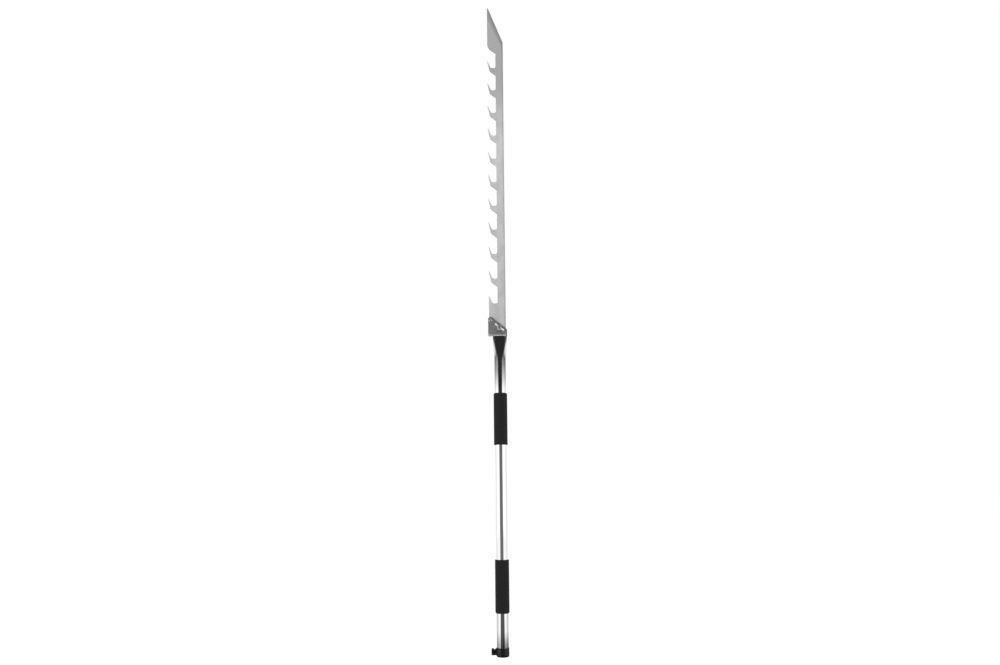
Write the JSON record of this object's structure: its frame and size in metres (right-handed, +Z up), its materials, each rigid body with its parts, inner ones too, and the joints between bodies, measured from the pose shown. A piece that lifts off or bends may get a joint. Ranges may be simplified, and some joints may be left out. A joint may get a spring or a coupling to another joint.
{
  "type": "ice saw",
  "caption": "Folding ice saw: hook-toothed steel blade pivoted in a bracket on a flattened chromed tube handle with foam grips, a wing nut lock and an end cap that catches the folded blade.",
  "frame": {"origin": "middle of the flat foot of the end cap, on the axis of the handle tube", "axes": "+Z up along the handle tube to the point of the open blade; the teeth look towards -X; the wing nut side is -Y"},
  "size_m": [0.0432, 0.0345, 1.524],
  "materials": {
    "blade_steel": "satin, with darker mill marks and a ground bevel along the back of the point",
    "bracket_steel": "dark grey bare steel plate with worn edges",
    "weld_metal": "rippled weld",
    "chromed_tube": "bright chrome plate",
    "foam": "matt closed-cell foam",
    "cap_plastic": "glossy moulded plastic",
    "zinc_steel": "bright zinc plate",
    "nylon": "plain nylon"
  },
  "bodies": {
    "handle": {"handle_tube": "chromed_tube", "front_cheek": "bracket_steel", "rear_cheek": "bracket_steel", "spacer_plate": "bracket_steel", "weld_bead": "weld_metal", "upper_grip": "foam", "lower_grip": "foam", "end_cap": "cap_plastic", "pivot_bolt": "zinc_steel", "pivot_washer": "zinc_steel", "pivot_nut": "zinc_steel", "nut_insert": "nylon", "friction_washers": "nylon", "lock_bolt": "zinc_steel"},
    "blade": {"blade": "blade_steel"},
    "nut_washer": {"nut_washer": "zinc_steel"},
    "wing_nut": {"wing_nut": "zinc_steel"}
  },
  "joints": [
    {"name": "blade_fold", "type": "hinge", "parent": "handle", "child": "blade", "pos_m": [-0.0206, 0, 0.7288], "axis": [0, -1, 0], "range_deg": [0, 180]},
    {"name": "nut_travel", "type": "slide", "parent": "handle", "child": "nut_washer", "axis": [0, -1, 0], "range_m": [0, 0.0051]},
    {"name": "nut_spin", "type": "hinge", "parent": "nut_washer", "child": "wing_nut", "pos_m": [-0.0006, 0, 0.71], "axis": [0, -1, 0], "range_deg": [0, 1440]}
  ],
  "couplings": [
    {"joint": "nut_travel", "follows": "nut_spin", "m_per_rad": 0.00020213}
  ]
}
